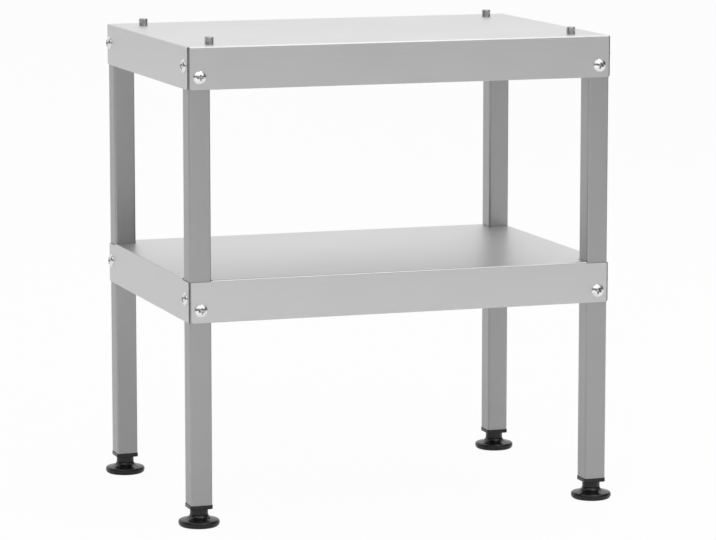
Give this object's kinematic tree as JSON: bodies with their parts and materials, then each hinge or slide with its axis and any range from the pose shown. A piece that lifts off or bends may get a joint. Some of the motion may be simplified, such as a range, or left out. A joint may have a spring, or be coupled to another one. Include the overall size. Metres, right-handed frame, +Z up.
{
  "type": "smoker stand",
  "caption": "Free-standing stand with an upper and a lower folded steel shelf on square tube legs, locating studs that hold a table-top smoker, and screw-in levelling feet.",
  "frame": {"origin": "on the floor under the middle of the stand, with the feet screwed fully in", "axes": "+X along the shelves to the right, -Y to the front, +Z up"},
  "size_m": [0.4152, 0.2902, 0.4365],
  "materials": {
    "sheet_steel": "smooth satin silver sheet with soft blurred reflections",
    "leg_steel": "smooth satin silver tube",
    "bright_screws": "bright plated, polished",
    "polished_studs": "turned and polished steel",
    "zinc_fixings": "zinc plated",
    "bush_brass": "machined brass",
    "black_plastic": "moulded, semi-gloss"
  },
  "bodies": {
    "stand": {"top_shelf": "sheet_steel", "lower_shelf": "sheet_steel", "top_shelf_screws": "bright_screws", "lower_shelf_screws": "bright_screws", "top_shelf_rivet_nuts": "zinc_fixings", "lower_shelf_rivet_nuts": "zinc_fixings", "locating_studs": "polished_studs", "locating_stud_washers": "zinc_fixings", "locating_stud_nuts": "zinc_fixings", "front_left_leg": "leg_steel", "front_left_leg_plug": "black_plastic", "front_left_plug_bush": "bush_brass", "front_right_leg": "leg_steel", "front_right_leg_plug": "black_plastic", "front_right_plug_bush": "bush_brass", "back_left_leg": "leg_steel", "back_left_leg_plug": "black_plastic", "back_left_plug_bush": "bush_brass", "back_right_leg": "leg_steel", "back_right_leg_plug": "black_plastic", "back_right_plug_bush": "bush_brass"},
    "front_left_foot_stud": {"front_left_foot_stud": "zinc_fixings"},
    "front_left_foot": {"front_left_foot": "black_plastic"},
    "front_right_foot_stud": {"front_right_foot_stud": "zinc_fixings"},
    "front_right_foot": {"front_right_foot": "black_plastic"},
    "back_left_foot_stud": {"back_left_foot_stud": "zinc_fixings"},
    "back_left_foot": {"back_left_foot": "black_plastic"},
    "back_right_foot_stud": {"back_right_foot_stud": "zinc_fixings"},
    "back_right_foot": {"back_right_foot": "black_plastic"}
  },
  "joints": [
    {"name": "front_left_foot_travel", "type": "slide", "parent": "stand", "child": "front_left_foot_stud", "axis": [0, 0, -1], "range_m": [0, 0.01]},
    {"name": "front_left_foot_turn", "type": "hinge", "parent": "front_left_foot_stud", "child": "front_left_foot", "pos_m": [-0.189, -0.1265, 0], "axis": [0, 0, -1], "range_deg": [0, 2880]},
    {"name": "front_right_foot_travel", "type": "slide", "parent": "stand", "child": "front_right_foot_stud", "axis": [0, 0, -1], "range_m": [0, 0.01]},
    {"name": "front_right_foot_turn", "type": "hinge", "parent": "front_right_foot_stud", "child": "front_right_foot", "pos_m": [0.189, -0.1265, 0], "axis": [0, 0, -1], "range_deg": [0, 2880]},
    {"name": "back_left_foot_travel", "type": "slide", "parent": "stand", "child": "back_left_foot_stud", "axis": [0, 0, -1], "range_m": [0, 0.01]},
    {"name": "back_left_foot_turn", "type": "hinge", "parent": "back_left_foot_stud", "child": "back_left_foot", "pos_m": [-0.189, 0.1265, 0], "axis": [0, 0, -1], "range_deg": [0, 2880]},
    {"name": "back_right_foot_travel", "type": "slide", "parent": "stand", "child": "back_right_foot_stud", "axis": [0, 0, -1], "range_m": [0, 0.01]},
    {"name": "back_right_foot_turn", "type": "hinge", "parent": "back_right_foot_stud", "child": "back_right_foot", "pos_m": [0.189, 0.1265, 0], "axis": [0, 0, -1], "range_deg": [0, 2880]}
  ],
  "couplings": [
    {"joint": "front_left_foot_travel", "follows": "front_left_foot_turn", "m_per_rad": 0.00019894},
    {"joint": "front_right_foot_travel", "follows": "front_right_foot_turn", "m_per_rad": 0.00019894},
    {"joint": "back_left_foot_travel", "follows": "back_left_foot_turn", "m_per_rad": 0.00019894},
    {"joint": "back_right_foot_travel", "follows": "back_right_foot_turn", "m_per_rad": 0.00019894}
  ]
}
